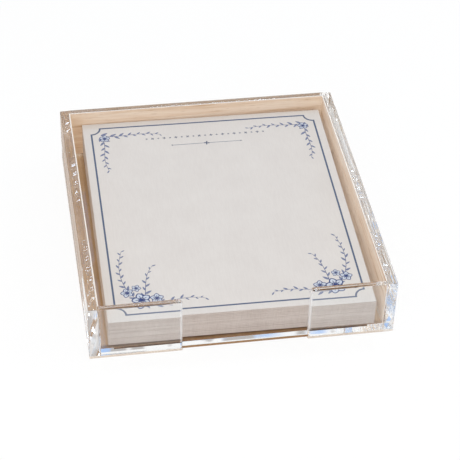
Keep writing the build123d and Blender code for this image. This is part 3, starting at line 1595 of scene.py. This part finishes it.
@dataclass
class Studio:
    """A white sweep, soft lamps and the camera.

    Behind the tray, what shines in clear edges is broken by bluish panes and grey bars, as by a window.
    """

    shot: Shot = field(default_factory=Shot)
    lamps: tuple[Softbox, ...] = (
        Softbox("key", (-0.3, -0.4, 0.9), 0.7, 3.25, (1.0, 0.98, 0.955)),
        Softbox("side", (0.85, 0.05, 0.36), 0.5, 1.8, (1.0, 0.99, 0.98)),
        Softbox("fill", (-0.6, -0.7, 0.5), 0.5, 1.8, (1.0, 0.99, 0.98)),
        Softbox("glint", (0.13, 0.54, 0.82), 0.2, 1.3, (0.66, 0.83, 1.0)),
    )
    ambient: float = 0.5
    white: Colour = (1.0, 1.0, 1.0, 1.0)
    pane: Colour = (0.4, 0.6, 0.97, 1.0)
    bar: Colour = (0.48, 0.46, 0.45, 1.0)
    card: tuple[Colour, Colour] = ((0.9, 0.9, 0.9, 1.0), (0.93, 0.93, 0.93, 1.0))
    sweep_glow: float = 0.85
    sweep_white: float = 1.02
    sweep_size: float = 6.0
    sweep_drop: float = 0.2 * MM
    clear_bounces: int = 96
    matt_bounces: int = 6
    veil_bounces: int = 32

    def seen(self, board: Board) -> Value:
        """Find the rays that show the background: straight, mirrored or through the clear walls.

        Args:
            board: the tree that asks.

        Returns:
            1 for such a ray.
        """
        rays = board.node("ShaderNodeLightPath").outputs
        straight = Value(board, rays["Is Camera Ray"])
        return straight.larger(rays["Is Glossy Ray"]).larger(rays["Is Transmission Ray"])

    def sweep(self) -> None:
        """The pale floor, which glows white to the camera and keeps a faint shadow."""
        half = self.sweep_size / 2
        corners = [(-half, -half, 0), (half, -half, 0), (half, half, 0), (-half, half, 0)]
        mesh = bpy.data.meshes.new("sweep")
        mesh.from_pydata(corners, [], [(0, 1, 2, 3)])
        paint = Paint("sweep")
        grain = paint.noise(paint.place(), scale=40.0, detail=3.0)
        matt = paint.surface(Base_Color=paint.blend(grain, *self.card), Roughness=0.9)
        glow = paint.node("ShaderNodeEmission", None, {"Strength": self.sweep_white}).outputs[0]
        mesh.materials.append(paint.finish(paint.mix(self.seen(paint) * self.sweep_glow, matt, glow)))
        floor = bpy.data.objects.new("sweep", mesh)
        floor.location.z = -self.sweep_drop
        bpy.context.scene.collection.objects.link(floor)

    def surround(self) -> None:
        """White all round to the camera, and a softer light on the object."""
        world = bpy.data.worlds.new("surround")
        world.use_nodes = True
        bpy.context.scene.world = world
        board = Board(world.node_tree)
        board.tree.nodes.clear()
        strength = self.seen(board) * (1.0 - self.ambient) + self.ambient
        rays = board.node("ShaderNodeLightPath").outputs
        x, y, z = board.split(board.node("ShaderNodeTexCoord").outputs["Generated"])
        panes = board.noise(board.combine(x * 26.0, y * 4.0, z * 18.0)).between(0.43, 0.51)
        bars = board.noise(board.combine(x * 90.0, y * 12.0, z * 60.0), detail=1.0).between(0.52, 0.6)
        behind = y.between(0.1, 0.4) * z.between(0.0, 0.1)
        clear = Value(board, rays["Is Glossy Ray"]).larger(rays["Is Transmission Ray"]) * behind
        sky = board.blend(panes * clear, self.white, self.pane)
        sky = board.blend(bars * clear, sky, self.bar)
        light = board.node("ShaderNodeBackground", None, {"Color": sky, "Strength": strength})
        board.node("ShaderNodeOutputWorld", None, {"Surface": light.outputs[0]})

    def build(self) -> None:
        """Set the stage and the picture's settings."""
        self.sweep()
        self.surround()
        for lamp in self.lamps:
            lamp.hang()
        self.shot.take()
        scene = bpy.context.scene
        scene.view_settings.view_transform = "Standard"
        scene.cycles.max_bounces = self.clear_bounces
        scene.cycles.diffuse_bounces = self.matt_bounces
        scene.cycles.glossy_bounces = self.clear_bounces
        scene.cycles.transmission_bounces = self.clear_bounces
        scene.cycles.transparent_max_bounces = self.veil_bounces


def wood_parts() -> WoodParts:
    """The base board and the liners with their woods.

    Returns:
        The parts, ready to build.
    """
    (left_face, _, _), (_, _, crest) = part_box("left_liner")
    return WoodParts(
        # The base's darker tones are painted shade, for the shade under the tray.
        base=WoodVeneer(
            "base_wood_painted_shade", Grain.DEEP, front=CAD_BOX[0][1],
            pale=tint(214, 182, 146), mid=tint(196, 160, 122), deep=tint(160, 122, 84),
        ),
        left=WoodVeneer(
            "left_veneer", Grain.DEEP, veil=(0.9, 0.83, 0.75, 1.0), crest=crest, glued=(0, left_face),
        ),
        # The right liner's paler tones and its paler foot are painted light, against the shade in the gap
        # beside the sheets.
        right=WoodVeneer(
            "right_veneer_painted_light", Grain.DEEP, veil=(0.99, 0.96, 0.92, 1.0), crest=crest, foot=tint(255, 248, 238),
            pale=tint(253, 236, 219), mid=tint(243, 219, 195), deep=tint(198, 158, 120),
            pore=tint(120, 80, 48),
        ),
        back=WoodVeneer(
            "back_veneer", Grain.ACROSS, veil=(0.8, 0.68, 0.56, 1.0), glued=(1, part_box("back_liner")[1][1]),
            pale=tint(248, 228, 208), mid=tint(237, 211, 186), pore=tint(178, 138, 100),
        ),
    )


def main() -> None:
    """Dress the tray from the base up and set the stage."""
    logging.basicConfig(level=logging.INFO, format="%(name)s: %(message)s")
    lay = SheetLay.read()
    wood_parts().build()
    mouths = (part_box("left_lip")[1][0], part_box("right_lip")[0][0])
    clear = ClearAcrylic(top=CAD_BOX[1][2], side=CAD_BOX[1][0], front=CAD_BOX[0][1], mouths=mouths)
    ClearTray(clear).build()
    NotePile(
        lay,
        # The pile's paper is darker and warmer than the top sheet: painted shade, with a painted warm bounce
        # from the wood.
        edges=NotePaper("leaf_edges_painted_shade", tint(222, 211, 204), tint(196, 182, 174), leaf_contrast=0.3),
        face=NotePaper("note_paper", tint(226, 221, 217), tint(219, 213, 209)),
    ).build()
    SheetPrint(
        lay,
        border_ink=PrintInk("border_ink", tint(88, 100, 126), tint(56, 70, 102)),
        flower_ink=PrintInk("flower_ink", tint(204, 210, 221), tint(38, 58, 116)),
    ).build()
    Studio().build()


if __name__ == "__main__":
    main()
